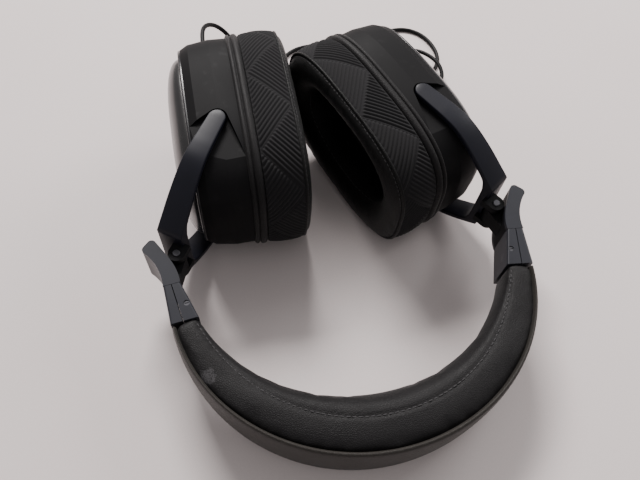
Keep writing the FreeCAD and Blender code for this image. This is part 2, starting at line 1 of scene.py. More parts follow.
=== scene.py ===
# %% [markdown]
# This lesson dresses a headset. A CAD model already fixes every size and every hinge, so nothing
# here moves or resizes a part. What is added is what CAD leaves plain: stuffed cushions, ribbed
# cloth, stitches, soft edges, a cable that lies the way a cable lies, and finishes for it all.
# The headset lies on its side. Its pieces are easiest to describe in the headband's own flat
# plane: u sideways, v from the crown to the ear cups, w across the band, all in millimetres.

# %% Load the fixed frame
import json
import math

import bmesh
import bpy
import numpy as np
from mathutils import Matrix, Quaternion, Vector
from mathutils.bvhtree import BVHTree


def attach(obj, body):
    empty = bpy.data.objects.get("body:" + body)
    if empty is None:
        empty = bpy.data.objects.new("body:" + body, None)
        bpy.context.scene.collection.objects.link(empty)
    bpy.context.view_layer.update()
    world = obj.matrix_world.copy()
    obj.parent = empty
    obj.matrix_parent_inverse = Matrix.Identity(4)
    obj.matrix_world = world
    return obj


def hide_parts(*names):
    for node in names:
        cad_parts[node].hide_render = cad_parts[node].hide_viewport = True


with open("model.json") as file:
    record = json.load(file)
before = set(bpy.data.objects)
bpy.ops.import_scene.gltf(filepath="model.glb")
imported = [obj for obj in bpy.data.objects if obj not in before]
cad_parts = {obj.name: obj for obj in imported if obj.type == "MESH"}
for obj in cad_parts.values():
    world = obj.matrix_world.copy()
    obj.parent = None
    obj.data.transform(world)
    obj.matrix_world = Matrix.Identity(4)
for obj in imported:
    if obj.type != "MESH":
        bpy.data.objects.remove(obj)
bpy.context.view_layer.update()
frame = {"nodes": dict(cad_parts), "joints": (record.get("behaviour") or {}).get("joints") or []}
nodes = frame["nodes"]
joints = {joint["name"]: joint for joint in frame["joints"]}
SIDES = ("left", "right")

# %% [markdown]
# Two small maps turn a maker's coordinates into the frame's metres. `band` starts from the
# headband's plane, found from a fold hinge's axis and place. `cup` starts from one ear cup: how
# deep behind the cushion's seat, how far along the cup, how far across it. With these, every
# later number can be a plain size in millimetres, and left and right share one description.

# %% Coordinates of the band and of the cups
MM = 0.001
FOLD_PIN = np.array([79.0, 26.5])
YOKE_LEAN = math.radians(34.6)
ARM_OFFSET, ARM_REACH = 7.2, 60.0
lean_cos, lean_sin = math.cos(YOKE_LEAN), math.sin(YOKE_LEAN)
CUP_PIVOT = FOLD_PIN + np.array([ARM_OFFSET * lean_cos - ARM_REACH * lean_sin,
                                 ARM_OFFSET * lean_sin + ARM_REACH * lean_cos])
TOE_IN = {"left": math.radians(0.4), "right": math.radians(20.5)}
MIRROR = {"left": -1.0, "right": 1.0}
PIVOT_DEPTH, CUP_DROP = 21.2, 12.1

W_WAY = np.array(joints["right_fold"]["axis"])
U_WAY = np.array([1.0, 0.0, 0.0])
V_WAY = np.cross(W_WAY, U_WAY)
hinge = np.array(joints["right_fold"]["pos_m"]) / MM
PLANE_ORIGIN = hinge - U_WAY * FOLD_PIN[0] - V_WAY * FOLD_PIN[1]


def band(u, v, w):
    """Points of the headband's plane, as an array of world points in metres."""
    u, v, w = np.broadcast_arrays(np.asarray(u, float), np.asarray(v, float), np.asarray(w, float))
    return (PLANE_ORIGIN + u[..., None] * U_WAY + v[..., None] * V_WAY + w[..., None] * W_WAY) * MM


def turned(side, place, angle, x, y, w):
    """Points drawn in a frame that is turned in the band's plane, mirrored for the left side."""
    x, y = np.asarray(x, float), np.asarray(y, float)
    u = place[0] + x * math.cos(angle) - y * math.sin(angle)
    v = place[1] + x * math.sin(angle) + y * math.cos(angle)
    return band(MIRROR[side] * u, v, w)


def cup(side, depth, height, width):
    """Points of an ear cup: behind its cushion's seat, along it and across it."""
    return turned(side, CUP_PIVOT, TOE_IN[side], np.asarray(depth, float) - PIVOT_DEPTH,
                  np.asarray(height, float) + CUP_DROP, width)


def yoke(side, x, y, w):
    """Points of a yoke, from its fold pin: x outwards, y along its arms, w across."""
    return turned(side, FOLD_PIN, YOKE_LEAN, x, y, w)


print("band plane starts at", PLANE_ORIGIN.round(2), "mm")

# %% [markdown]
# The camera comes before the pieces, so each can be judged in the final picture. It looks down
# at the crown of the band from the front, a little from the left, like someone standing at the
# table. It is described the way a film crew would: turn, tilt, roll, distance and lens.

# %% Camera
CAMERA_TURN, CAMERA_TILT, CAMERA_ROLL = map(math.radians, (-13.82, 54.87, 2.39))
CAMERA_AIM = Vector((-0.00804, 0.0032, 0.020))
CAMERA_DISTANCE = 0.34613
CAMERA_LENS = 37.8

back = Vector((math.sin(CAMERA_TURN) * math.cos(CAMERA_TILT),
               -math.cos(CAMERA_TURN) * math.cos(CAMERA_TILT), math.sin(CAMERA_TILT)))
camera = bpy.data.objects.new("camera", bpy.data.cameras.new("camera"))
bpy.context.scene.collection.objects.link(camera)
camera.data.lens = CAMERA_LENS
camera.location = CAMERA_AIM + back * CAMERA_DISTANCE
camera.rotation_mode = "QUATERNION"
upright = (-back).to_track_quat("-Z", "Y")
camera.rotation_quaternion = upright @ Quaternion((0, 0, 1), CAMERA_ROLL)
bpy.context.scene.camera = camera
print("camera stands", [round(value, 3) for value in camera.location])

# %% [markdown]
# Studio light for black things has to be large and soft, because a black surface shows mostly
# what it reflects. One wide panel high behind the cups gives the long soft highlights and the
# shadows that fall toward the viewer. A small weak panel on the right draws the rim of that
# side, and a dim sky all round keeps the dark sides readable.

# %% Light
SKY_COLOUR, SKY_STRENGTH = (0.93, 0.9, 0.9, 1.0), 0.5


def soft_panel(name, place, size, power, colour):
    """A rectangular lamp that faces the headset, with its place and size in metres."""
    panel = bpy.data.objects.new(name, bpy.data.lights.new(name, "AREA"))
    bpy.context.scene.collection.objects.link(panel)
    panel.data.shape = "RECTANGLE"
    panel.data.size, panel.data.size_y = size
    panel.data.energy = power
    panel.data.color = colour
    panel.location = place
    panel.rotation_mode = "QUATERNION"
    panel.rotation_quaternion = (-Vector(place)).to_track_quat("-Z", "Y")
    print(name, "gives", power, "watts")


soft_panel("key_panel", (-0.10, 1.35, 1.42), (0.85, 0.5), 58.0, (1.0, 0.965, 0.95))
soft_panel("side_panel", (0.75, 0.35, 0.60), (0.5, 0.35), 4.0, (1.0, 0.98, 0.97))
world = bpy.data.worlds.new("soft_sky")
world.use_nodes = True
sky = world.node_tree.nodes["Background"]
sky.inputs["Color"].default_value = SKY_COLOUR
sky.inputs["Strength"].default_value = SKY_STRENGTH
bpy.context.scene.world = world

# %% [markdown]
# Finishes are sums: a base tone, plus grain, minus wear. Written as node trees they are hard to
# read, so one small class lets a socket be added, multiplied and so on like a number, and each
# sum quietly becomes a Math node. A second class makes a material and every other kind of node.

# %% Sockets that behave like numbers


class Value:
    """A socket of a material that can be used in sums."""

    def __init__(self, finish, socket):
        self.finish, self.socket = finish, socket

    def sum(self, operation, first, second):
        return self.finish.node("Math", {"operation": operation}, {0: first, 1: second})

    def __add__(self, other):
        return self.sum("ADD", self, other)

    def __radd__(self, other):
        return self.sum("ADD", other, self)

    def __sub__(self, other):
        return self.sum("SUBTRACT", self, other)

    def __rsub__(self, other):
        return self.sum("SUBTRACT", other, self)

    def __mul__(self, other):
        return self.sum("MULTIPLY", self, other)

    def __rmul__(self, other):
        return self.sum("MULTIPLY", other, self)


class Finish:
    """One material: its Principled shader, and the nodes that feed it."""

    def __init__(self, name, **constants):
        self.material = bpy.data.materials.new(name)
        self.material.use_nodes = True
        self.nodes = self.material.node_tree.nodes
        self.links = self.material.node_tree.links
        self.shader = self.nodes["Principled BSDF"]
        self.place = self.node("TexCoord", {}, {}, "Object")
        for socket, value in constants.items():
            self.shader.inputs[socket.replace("_", " ")].default_value = value

    def node(self, kind, settings, sockets, output=0):
        made = self.nodes.new("ShaderNode" + kind)
        for key, value in settings.items():
            if key == "stops":
                for element, (position, level) in zip(made.color_ramp.elements, value):
                    element.position, element.color = position, (level, level, level, 1.0)
            else:
                setattr(made, key, value)
        for key, value in sockets.items():
            self.feed(made.inputs[key], value)
        return Value(self, made.outputs[output])

    def feed(self, socket, value):
        if isinstance(value, Value):
            self.links.new(value.socket, socket)
        else:
            socket.default_value = value

    def noise(self, size_mm, detail=2.0, stretch=None):
        place = self.place
        if stretch is not None:
            place = self.node("VectorMath", {"operation": "MULTIPLY"}, {0: place, 1: stretch})
        return self.node("TexNoise", {},
                         {"Vector": place, "Scale": 1.0 / (size_mm * MM), "Detail": detail})

    def edges(self, size_mm):
        """Distance from the border of irregular cells, such as the pores of leather."""
        return self.node("TexVoronoi", {"feature": "DISTANCE_TO_EDGE"},
                         {"Vector": self.place, "Scale": 1.0 / (size_mm * MM), "Randomness": 1.0})

    def ramp(self, value, low, high):
        """0 below low, 1 above high, and smooth between."""
        return self.node("MapRange", {"interpolation_type": "SMOOTHSTEP"},
                         {"Value": value, "From Min": low, "From Max": high})

    def blend(self, share, first, second):
        colours = {6: (*first, 1.0) if isinstance(first, tuple) else first,
                   7: (*second, 1.0) if isinstance(second, tuple) else second}
        return self.node("Mix", {"data_type": "RGBA"}, {0: share, **colours}, 2)

    def bump(self, height, depth_mm, strength=1.0):
        return self.node("Bump", {},
                         {"Height": height, "Distance": depth_mm * MM, "Strength": strength})

    def finish(self, colour, roughness, normal=None):
        self.feed(self.shader.inputs["Base Color"], colour)
        self.feed(self.shader.inputs["Roughness"], roughness)
        if normal is not None:
            self.feed(self.shader.inputs["Normal"], normal)
        return self.material


def shade(colour, factor):
    return tuple(min(1.0, channel * factor) for channel in colour)


print("shader classes ready")

# %% [markdown]
# Leatherette is cloth with a soft skin on it. Its grain is a net of fine creases round small
# pillows, which a Voronoi pattern gives by the distance to the cell borders. Handling polishes
# it in patches, so roughness wanders slowly over centimetres while the grain stays fine.

# %% Leatherette


def leatherette(name, tone, roughness, pore_mm, wear=None):
    skin = Finish(name, Specular_IOR_Level=0.17, Sheen_Weight=0.04, Sheen_Roughness=0.5)
    patches = skin.noise(14.0, 3.0)
    pillows = skin.ramp(skin.edges(pore_mm), 0.0, 0.22)
    fine = skin.noise(0.25, 2.0)
    colour = skin.blend(patches, shade(tone, 0.72), shade(tone, 1.3))
    # Painted shade: the colour is darkened in the grain's creases between the pillows.
    colour = skin.blend((1.0 - pillows) * 0.5, colour, shade(tone, 0.45))
    gloss = roughness - 0.1 + 0.16 * patches + 0.08 * (1.0 - pillows)
    if wear is not None:
        spot, radius, bare = wear
        away = skin.node("VectorMath", {"operation": "DISTANCE"},
                         {0: skin.place, 1: tuple(spot)}, "Value")
        ragged = away + (skin.noise(2.2, 4.0) - 0.5) * (radius * 1.7)
        worn = 1.0 - skin.ramp(ragged, radius * 0.75, radius * 0.95)
        threads = skin.noise(0.7, 3.0)
        worn = worn * skin.ramp(threads, 0.3, 0.62)
        colour = skin.blend(worn, colour, bare)
        gloss = gloss + 0.3 * worn
    normal = skin.bump(pillows * 0.7 + fine * 0.3, 0.09, 0.9)
    print(name, "has pores of", pore_mm, "mm")
    return skin.finish(colour, gloss, normal)


# %% [markdown]
# Moulded plastic is never a flat tone either. Spark-etched moulds leave a fine matt texture,
# flow marks change the gloss slightly, and corners wear shiny. Pointiness finds those corners on
# a dense mesh, but CAD meshes are sparse, so wear is drawn here by slow noise instead.

# %% Moulded plastics


def moulded(name, tone, roughness, etch_mm=0.35, etch_depth=0.02, coat=0.0, shine=0.3):
    skin = Finish(name, Specular_IOR_Level=shine, Coat_Weight=coat, Coat_Roughness=0.2)
    flow = skin.noise(18.0, 4.0, (1.0, 0.45, 1.0))
    etch = skin.noise(etch_mm, 3.0)
    rubs = skin.ramp(skin.noise(5.0, 5.0), 0.58, 0.75)
    colour = skin.blend(flow, shade(tone, 0.8), shade(tone, 1.22))
    colour = skin.blend(rubs * 0.35, colour, shade(tone, 1.7))
    gloss = roughness + 0.12 * (flow - 0.5) + 0.1 * (etch - 0.5) - 0.06 * rubs
    return skin.finish(colour, gloss, skin.bump(etch, etch_depth, 0.7))


def metal(name, tone, roughness, brush_mm):
    skin = Finish(name, Metallic=1.0)
    brush = skin.noise(brush_mm, 4.0, (1.0, 12.0, 1.0))
    tarnish = skin.noise(3.0, 3.0)
    colour = skin.blend(tarnish, shade(tone, 0.75), shade(tone, 1.1))
    return skin.finish(colour, roughness + 0.15 * brush, skin.bump(brush, 0.01, 0.5))


def cloth(name, tone, thread_mm):
    skin = Finish(name, Specular_IOR_Level=0.15, Sheen_Weight=0.08, Sheen_Roughness=0.4)
    warp = skin.node("TexWave", {"bands_direction": "DIAGONAL"},
                     {"Vector": skin.place, "Scale": 0.32 / (thread_mm * MM), "Distortion": 1.5})
    lint = skin.noise(thread_mm, 3.0)
    patches = skin.noise(9.0, 2.0)
    colour = skin.blend(lint, shade(tone, 0.55), shade(tone, 1.5))
    colour = skin.blend(patches * 0.4, colour, shade(tone, 1.35))
    return skin.finish(colour, 0.72 + 0.15 * lint, skin.bump(warp * 0.5 + lint * 0.5, 0.06, 0.8))


print("finishes ready to mix")

# %% [markdown]
# Most pieces are skins: a grid of points whose rows follow the piece and whose columns go round
# it. The grid can close on itself like a ring, or its ends can be filled. Built from numbers,
# such a mesh has no stray faces, and its spacing can be as fine as the detail needs.

# %% Skins from grids of points
LATHE_SIDES = 40
EDGE_ANGLE, FLAT_ANGLE = math.radians(32.0), math.radians(1.0)


def finished(piece, material):
    piece.data.materials.clear()
    piece.data.materials.append(material)
    piece.data.polygons.foreach_set("use_smooth", [True] * len(piece.data.polygons))
    return piece


def mesh_piece(name, points, faces, material):
    """An object made of points in metres and faces that all look outwards."""
    data = bpy.data.meshes.new(name)
    data.from_pydata(np.asarray(points).reshape(-1, 3).tolist(), [], faces)
    work = bmesh.new()
    work.from_mesh(data)
    bmesh.ops.recalc_face_normals(work, faces=work.faces)
    work.to_mesh(data)
    work.free()
    piece = bpy.data.objects.new(name, data)
    bpy.context.scene.collection.objects.link(piece)
    return finished(piece, material)


def grid_faces(rows, columns, closed=False, ends=False, first=0):
    """Faces of a tube of points: closed joins its last row to its first, ends fills both."""
    faces = []
    for row in range(rows if closed else rows - 1):
        for column in range(columns):
            below, beside = (row + 1) % rows, (column + 1) % columns
            faces.append((first + row * columns + column, first + row * columns + beside,
                          first + below * columns + beside, first + below * columns + column))
    if ends:
        faces.append(tuple(first + column for column in reversed(range(columns))))
        faces.append(tuple(first + (rows - 1) * columns + column for column in range(columns)))
    return faces


def skin_piece(name, grid, material, **form):
    """A piece whose grid of points is given row by row."""
    rows, columns = grid.shape[:2]
    return mesh_piece(name, grid, grid_faces(rows, columns, **form), material)


def lathe(name, start, way, profile, material):
    """A turned piece: profile is (distance along way, radius) in millimetres."""
    start, way = np.asarray(start, float), np.asarray(way, float) / np.linalg.norm(way)
    across = np.cross(way, (0.0, 0.0, 1.0) if abs(way[2]) < 0.9 else (1.0, 0.0, 0.0))
    across /= np.linalg.norm(across)
    other = np.cross(way, across)
    turn = np.linspace(0, 2 * math.pi, LATHE_SIDES, endpoint=False)
    circle = np.cos(turn)[:, None] * across + np.sin(turn)[:, None] * other
    rings = [start + way * along * MM + circle * radius * MM for along, radius in profile]
    return skin_piece(name, np.array(rings), material, ends=True)


def blended_edges(piece, width_mm):
    """Soft edges without touching the mesh: flat faces are joined first, so the bevel is clean."""
    flat = piece.modifiers.new("flat", "DECIMATE")
    flat.decimate_type = "DISSOLVE"
    flat.angle_limit = FLAT_ANGLE
    soft = piece.modifiers.new("soft", "BEVEL")
    soft.width = width_mm * MM
    soft.segments = 3
    soft.limit_method = "ANGLE"
    soft.angle_limit = EDGE_ANGLE
    soft.use_clamp_overlap = True
    soft.harden_normals = True


print("turned pieces have", LATHE_SIDES, "sides")

# %% [markdown]
# The cable is one long flexible thing, so it is one spline. It leaves the left cup through its
# strain relief, drops behind the cups, wanders over the table in two loose loops, and the rest
# is wound up as for storage. The route is listed point by point, as a person would lay it; only
# the coil's turns come from a loop, because they repeat. A NURBS spline passes near its points,
# not through them, and so bends as smoothly as rubber does.

# %% Cable
CABLE_R = 1.3
ROUTE = [
    (-48.5, 153.9, 45.0), (-41.5, 160.9, 39.5), (-34.0, 159.4, 32.0),
    (-29.0, 152.9, 23.0), (-25.0, 147.4, 13.5), (-18.5, 146.9, 5.5), (-9.0, 153.9, 1.9),
    (-1.0, 164.9, 1.32), (8.5, 174.4, 1.32), (20.0, 177.4, 1.32), (32.0, 175.4, 1.32),
    (44.0, 171.4, 1.32), (56.0, 172.4, 1.32), (67.0, 178.4, 1.32), (79.0, 183.4, 1.32),
    (91.5, 183.4, 1.32), (101.0, 175.9, 1.32), (105.5, 163.9, 1.32), (106.0, 151.4, 1.32),
    (101.5, 140.4, 1.32), (93.0, 132.4, 1.32), (82.5, 129.4, 1.32), (73.0, 133.9, 1.32),
    (69.5, 143.9, 1.32), (74.0, 153.9, 1.9), (83.0, 158.4, 3.6), (92.0, 153.4, 6.4),
    (98.0, 144.9, 7.3), (101.5, 135.9, 7.0), (101.0, 126.4, 4.4), (94.0, 119.4, 1.9),
    (83.5, 117.9, 1.32), (72.0, 120.4, 1.32), (62.0, 124.2, 1.32), (51.0, 124.2, 1.32),
]
LYING = 1.32
RELIEF_DEPTH, RELIEF_WIDTH = 22.0, -8.0
CUP_HALF_HEIGHT, CUP_HALF_WIDTH, RELIEF_LENGTH, FIRST_RUN = 55.0, 38.2, 14.0, 15.0
RELIEF_WALL = CUP_HALF_HEIGHT - 2.2

exit_point = cup("left", RELIEF_DEPTH, RELIEF_WALL + RELIEF_LENGTH, RELIEF_WIDTH)
second_point = cup("left", RELIEF_DEPTH, RELIEF_WALL + RELIEF_LENGTH + FIRST_RUN, RELIEF_WIDTH)
print("the cable leaves at", (exit_point / MM).round(1), "mm")

# %% [markdown]
# The coil's turns lie beside and on each other round an empty middle, so its section is a square
# of cells, and each turn takes the next one. A turn moves over only where the cell is free, a
# little earlier each time round, or the cable would cut through itself.

# %% Turns of the coil
COIL_CENTRE, COIL_PITCH, COIL_R = (40.0, 141.4), 2.6, 14.6
COIL_CELLS = [(2, 0), (1, 0), (0, 0), (0, 1), (0, 2), (1, 2), (2, 2), (2, 1)]
POINTS_PER_TURN = 24
FIRST_STEP, NEXT_STEP, STEP_ANGLE = -40.0, -34.0, math.radians(36.0)


def coil_points():
    """Turns beside and on each other; each steps to the next cell after the cell is free."""
    points, step = [], 2 * math.pi / POINTS_PER_TURN
    hug = math.cos(math.pi / POINTS_PER_TURN)
    shift = [math.radians(FIRST_STEP + NEXT_STEP * turn) for turn in range(len(COIL_CELLS) - 1)]
    for index in range(len(COIL_CELLS) * POINTS_PER_TURN + 1):
        angle = index * step
        column, layer = COIL_CELLS[0]
        for turn, delay in enumerate(shift):
            share = min(1.0, max(0.0, (angle - (turn + 1) * 2 * math.pi - delay) / STEP_ANGLE))
            share = share * share * (3 - 2 * share)
            column += share * (COIL_CELLS[turn + 1][0] - COIL_CELLS[turn][0])
            layer += share * (COIL_CELLS[turn + 1][1] - COIL_CELLS[turn][1])
        radius = (COIL_R + COIL_PITCH * (column - 1)) / hug
        points.append((COIL_CENTRE[0] - radius * math.sin(angle),
                       COIL_CENTRE[1] - radius * math.cos(angle), LYING + COIL_PITCH * layer))
    return points


print("coil:", len(COIL_CELLS), "turns of", round(2 * math.pi * COIL_R), "mm")

# %% [markdown]
# The points become one NURBS spline, and a round bevel gives it the cable's thickness. The
# order and the end points are set once all its points are there.

# %% The cable itself
PLUG_START = (29.0, 124.2, 3.62)
rubber_skin = moulded("cable_jacket", (0.005, 0.005, 0.0055), 0.5, 0.3, 0.012, shine=0.15)
lead_out = [(36.0, 124.2, 3.75), PLUG_START]
control = [tuple(exit_point / MM), tuple(second_point / MM)] + ROUTE + coil_points() + lead_out
line = bpy.data.curves.new("cable_line", "CURVE")
line.dimensions = "3D"
line.bevel_depth = CABLE_R * MM
line.bevel_resolution = 5
line.resolution_u = 6
spline = line.splines.new("NURBS")
spline.points.add(len(control) - 1)
for point, place in zip(spline.points, control):
    point.co = (place[0] * MM, place[1] * MM, place[2] * MM, 1.0)
spline.order_u = 3
spline.use_endpoint_u = True
cable_line = bpy.data.objects.new("cable_line", line)
bpy.context.scene.collection.objects.link(cable_line)
line.materials.append(rubber_skin)
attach(cable_line, "cup_left")
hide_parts("cable", "cable_coil")
print("cable:", len(control), "points")

# %% [markdown]
# What sits on the cable is turned on a lathe in real life, and here too. The strain relief is a
# tapered boot whose rings let it bend, and the plug's grip has the same rings at its tail.

# %% Strain relief
rubber_mould = moulded("rubber_mould", (0.007, 0.007, 0.0075), 0.55, 0.4, 0.03)
RIB_SHAPE = [(0.0, 0.0), (0.12, 0.6), (0.45, 1.0), (0.62, 0.85), (0.72, 0.0), (0.95, 0.0)]
RELIEF_SEAT = 6.4


def ribbed(start, end, first_r, last_r, rings, depth):
    """A tapered profile with rings along it."""
    profile = []
    for index in range(rings):
        low = start + (end - start) * index / rings
        for share, cut in RIB_SHAPE:
            at = low + (end - start) * share / rings
            radius = first_r + (last_r - first_r) * (at - start) / (end - start)
            profile.append((at, radius - depth * (1.0 - cut)))
    return profile


relief_start = cup("left", RELIEF_DEPTH, RELIEF_WALL - RELIEF_SEAT, RELIEF_WIDTH)
relief_way = exit_point - relief_start
relief_profile = [(0.0, 2.0), (0.0, 4.2), (1.1, 4.2), (1.1, 2.9),
                  (7.4, 2.95), (7.9, 3.0), (8.3, 2.95)]
relief_profile += ribbed(8.4, 19.6, 2.95, 2.05, 5, 0.45)
relief_profile += [(19.8, 1.95), (20.3, 1.75), (20.4, 1.36)]
relief = lathe("strain_relief_boot", relief_start, relief_way, relief_profile, rubber_mould)
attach(relief, "cup_left")
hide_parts("strain_relief")
print("strain relief:", relief_profile[-1][0], "mm long")

# %% [markdown]
# The plug is a rubber grip with five finger grooves, and a plated contact that black insulating
# bands divide. Every part of it is one profile spun round the plug's line.

# %% Plug
plated = metal("plated_contact", (0.83, 0.66, 0.36), 0.2, 0.5)
insulator = moulded("insulator", (0.01, 0.01, 0.011), 0.4, 0.3, 0.01)
PLUG_WAY, GROOVES = (-1, 0, 0), 5
plug_origin = np.array(PLUG_START) * MM
grip_profile = [(0.0, 1.36), (0.0, 1.8)] + ribbed(0.4, 8.6, 1.85, 2.75, 4, 0.4)
grip_profile += [(9.0, 2.8), (9.1, 3.2), (9.6, 3.48), (10.2, 3.5)]
for groove in range(GROOVES):
    for at, radius in ((12.0, 3.5), (12.3, 3.2), (12.7, 3.2), (13.0, 3.5)):
        grip_profile.append((at + 2 * groove, radius))
grip_profile += [(26.2, 3.5), (26.8, 3.25), (27.0, 2.8), (27.0, 1.7)]
plug_grip = lathe("plug_grip", plug_origin, PLUG_WAY, grip_profile, rubber_mould)
contact_profile = [(27.0, 0.8), (27.0, 2.3), (27.35, 2.3), (27.35, 1.75), (30.8, 1.75),
                   (38.4, 1.75), (38.8, 1.5), (39.3, 1.28), (39.6, 1.35), (40.2, 1.7),
                   (40.6, 1.62), (41.0, 0.75), (41.0, 0.1)]
plug_pin = lathe("plug_pin", plug_origin, PLUG_WAY, contact_profile, plated)
bands = []
for number, at in enumerate((31.0, 33.9, 36.6)):
    ring = lathe("plug_band_" + str(number + 1), plug_origin, PLUG_WAY,
                 [(at, 1.6), (at, 1.765), (at + 0.6, 1.765), (at + 0.6, 1.6)], insulator)
    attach(ring, "cup_left")
    bands.append(ring)
for piece, node, slot in ((plug_grip, "plug_body", "rubber"), (plug_pin, "plug_contact", "brass")):
    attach(piece, "cup_left")
    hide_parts(node)
print("plug:", contact_profile[-1][0], "mm long with", len(bands), "bands")

# %% [markdown]
# A woven strap holds the coil. It is a flat band swept round the bundle a little more than once:
# where the second turn starts, it climbs by its own thickness and lies on the first.

# %% Strap of the coil
woven = cloth("woven_strap", (0.02, 0.02, 0.021), 0.35)
STRAP_CENTRE, STRAP_HALF, STRAP_WIDTH, STRAP_THICK = (40.0, 156.0, 4.5), 4.0, 5.8, 0.42
STRAP_TURNS, CLIMB_FROM, CLIMB_OVER, STRAP_SQUARENESS = 1.14, 0.93, 0.07, 2.0 / 3.4


def strap_loop(name, centre, half, width, thick, material):
    """A strap round the coil's bundle, with its free end lying on top."""
    turn = np.linspace(0.0, 2 * math.pi * STRAP_TURNS, 84)
    inner_y = half * np.sign(np.sin(turn)) * np.abs(np.sin(turn)) ** STRAP_SQUARENESS
    inner_z = half * np.sign(np.cos(turn)) * np.abs(np.cos(turn)) ** STRAP_SQUARENESS
    climb = (turn - 2 * math.pi * CLIMB_FROM) / (2 * math.pi * CLIMB_OVER)
    lap = np.clip(climb, 0.0, 1.0) * thick * 1.05
    length = np.hypot(inner_y, inner_z)
    rows = []
    for side, out in ((-1, 0.0), (-0.86, thick), (0.86, thick), (1, 0.0)):
        grow = 1.0 + (lap + out) / length
        across = np.full_like(turn, centre[0] + side * width / 2)
        rows.append(np.stack([across, centre[1] + inner_y * grow, centre[2] + inner_z * grow],
                             axis=-1) * MM)
    return skin_piece(name, np.array(rows).transpose(1, 0, 2), material, ends=True)


strap = strap_loop("coil_strap", STRAP_CENTRE, STRAP_HALF, STRAP_WIDTH, STRAP_THICK, woven)
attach(strap, "cup_left")
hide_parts("cable_tie")
[relief, plug_grip, plug_pin, strap] + bands
print("cable end pieces:", len(bands) + 4)

# %% [markdown]
# The headband is described by one number along it, the angle round its arc, and two across it:
# how far outside its seam, and how far to either side. The band is widest and thickest at the
# crown. Every layer of it, the stitches included, uses this one map, so they all agree.

# %% Coordinates along the headband
BAND_RX, BAND_RY = 84.5, 80.5
CROWN_HALF, END_HALF = 17.6, 12.0
BAND_END_V = -9.0
CROWN_PAD, END_PAD = 26.5, 11.5
ARC_END = math.acos(-BAND_END_V / BAND_RY)


def arc_normal(theta):
    """The way out of the band at an angle round it."""
    normal = np.stack([np.sin(theta) / BAND_RX, -np.cos(theta) / BAND_RY])
    return normal / np.linalg.norm(normal, axis=0)


def arc(theta, offset, level):
    """Points at an angle round the band, outside its seam by offset, at a level across it."""
    theta = np.asarray(theta, float)
    normal = arc_normal(theta)
    return band(BAND_RX * np.sin(theta) + normal[0] * offset,
                -BAND_RY * np.cos(theta) + normal[1] * offset, level)


def taper(theta, crown, end):
    """A size that changes smoothly from the crown to the band's ends."""
    return crown + (end - crown) * (1.0 - np.cos(theta))


def arc_of(points):
    """The map backwards: angle, offset and level of world points in metres."""
    local = points / MM - PLANE_ORIGIN
    u, v, w = local @ U_WAY, local @ V_WAY, local @ W_WAY
    theta = np.arctan2(u, -v)
    for _ in range(4):
        base = np.stack([BAND_RX * np.sin(theta), -BAND_RY * np.cos(theta)])
        normal = arc_normal(theta)
        along = (u - base[0]) * -normal[1] + (v - base[1]) * normal[0]
        theta = theta + along / (BAND_RX * BAND_RY) ** 0.5 * 0.9
    offset = (u - base[0]) * normal[0] + (v - base[1]) * normal[1]
    return theta, offset, w


def swept(name, section_at, margin, count, material):
    """A skin along the whole band, whose section is worked out again at every angle."""
    rows = []
    for theta in np.linspace(-ARC_END + margin, ARC_END - margin, count):
        offsets, levels = np.array(section_at(theta)).T
        rows.append(arc(np.full(len(offsets), theta), offsets, levels))
    return skin_piece(name, np.array(rows), material, ends=True)


print("band covers", round(math.degrees(2 * ARC_END)), "degrees of arc")

# %% [markdown]
# Padding looks stuffed because foam pushes outwards against cloth of a fixed size. Two ways give
# that: pushing vertices about by hand, or letting the cloth solver do it. The solver is used
# here. The pad starts a little too small, is rebuilt from even cells so that it creases evenly,
# is blown up for twenty frames with gravity off, and no point may move further than a cap.

# %% Blow up a cushion
BLOW_FRAMES = 20


def positions(piece):
    found = np.empty(len(piece.data.vertices) * 3)
    piece.data.vertices.foreach_get("co", found)
    return found.reshape(-1, 3)


def place_vertices(piece, points):
    piece.data.vertices.foreach_set("co", points.ravel())
    piece.data.update()


def bake_modifiers(piece):
    """Make what the modifiers show the piece's own mesh."""
    shown = piece.evaluated_get(bpy.context.evaluated_depsgraph_get())
    result = bpy.data.meshes.new_from_object(shown)
    piece.modifiers.clear()
    piece.data = result


def surface_tree(piece):
    """A piece's surface, ready for rays to land on it."""
    corners = [tuple(point) for point in positions(piece)]
    return BVHTree.FromPolygons(corners, [tuple(face.vertices) for face in piece.data.polygons])


def stuffed(piece, cell_mm, pressure, cap_mm, slack):
    """Inflate a closed skin as foam inflates its cover."""
    material = piece.data.materials[0]
    remesh = piece.modifiers.new("even_cells", "REMESH")
    remesh.mode = "VOXEL"
    remesh.voxel_size = cell_mm * MM
    bake_modifiers(piece)
    start = positions(piece)
    solver = piece.modifiers.new("cloth", "CLOTH")
    solver.settings.use_pressure = True
    solver.settings.uniform_pressure_force = pressure
    solver.settings.effector_weights.gravity = 0.0
    solver.settings.quality = 5
    solver.settings.shrink_min = slack
    solver.settings.tension_stiffness = 12.0
    solver.settings.bending_stiffness = 0.3
    solver.point_cache.frame_start, solver.point_cache.frame_end = 1, BLOW_FRAMES
    for moment in range(1, BLOW_FRAMES + 1):
        bpy.context.scene.frame_set(moment)
    bake_modifiers(piece)
    bpy.context.scene.frame_set(1)
    moved = positions(piece) - start
    reach = np.linalg.norm(moved, axis=1)
    keep = np.minimum(1.0, cap_mm * MM / np.maximum(reach, 1e-9))
    place_vertices(piece, start + moved * keep[:, None])
    print(piece.name, "moved up to", round(float(reach.max() / MM), 1), "mm before the cap")
    finer = piece.modifiers.new("finer", "SUBSURF")
    finer.levels = finer.render_levels = 1
    bake_modifiers(piece)
    finished(piece, material)


print("cushions are blown up over", BLOW_FRAMES, "frames")

# %% [markdown]
# The band's pad is sewn from two flat side panels and a rolled cushion between them. Its section
# is therefore not a plain oval: flat by the outer seam, pinched where the stitches pull, then
# full and round towards the head.

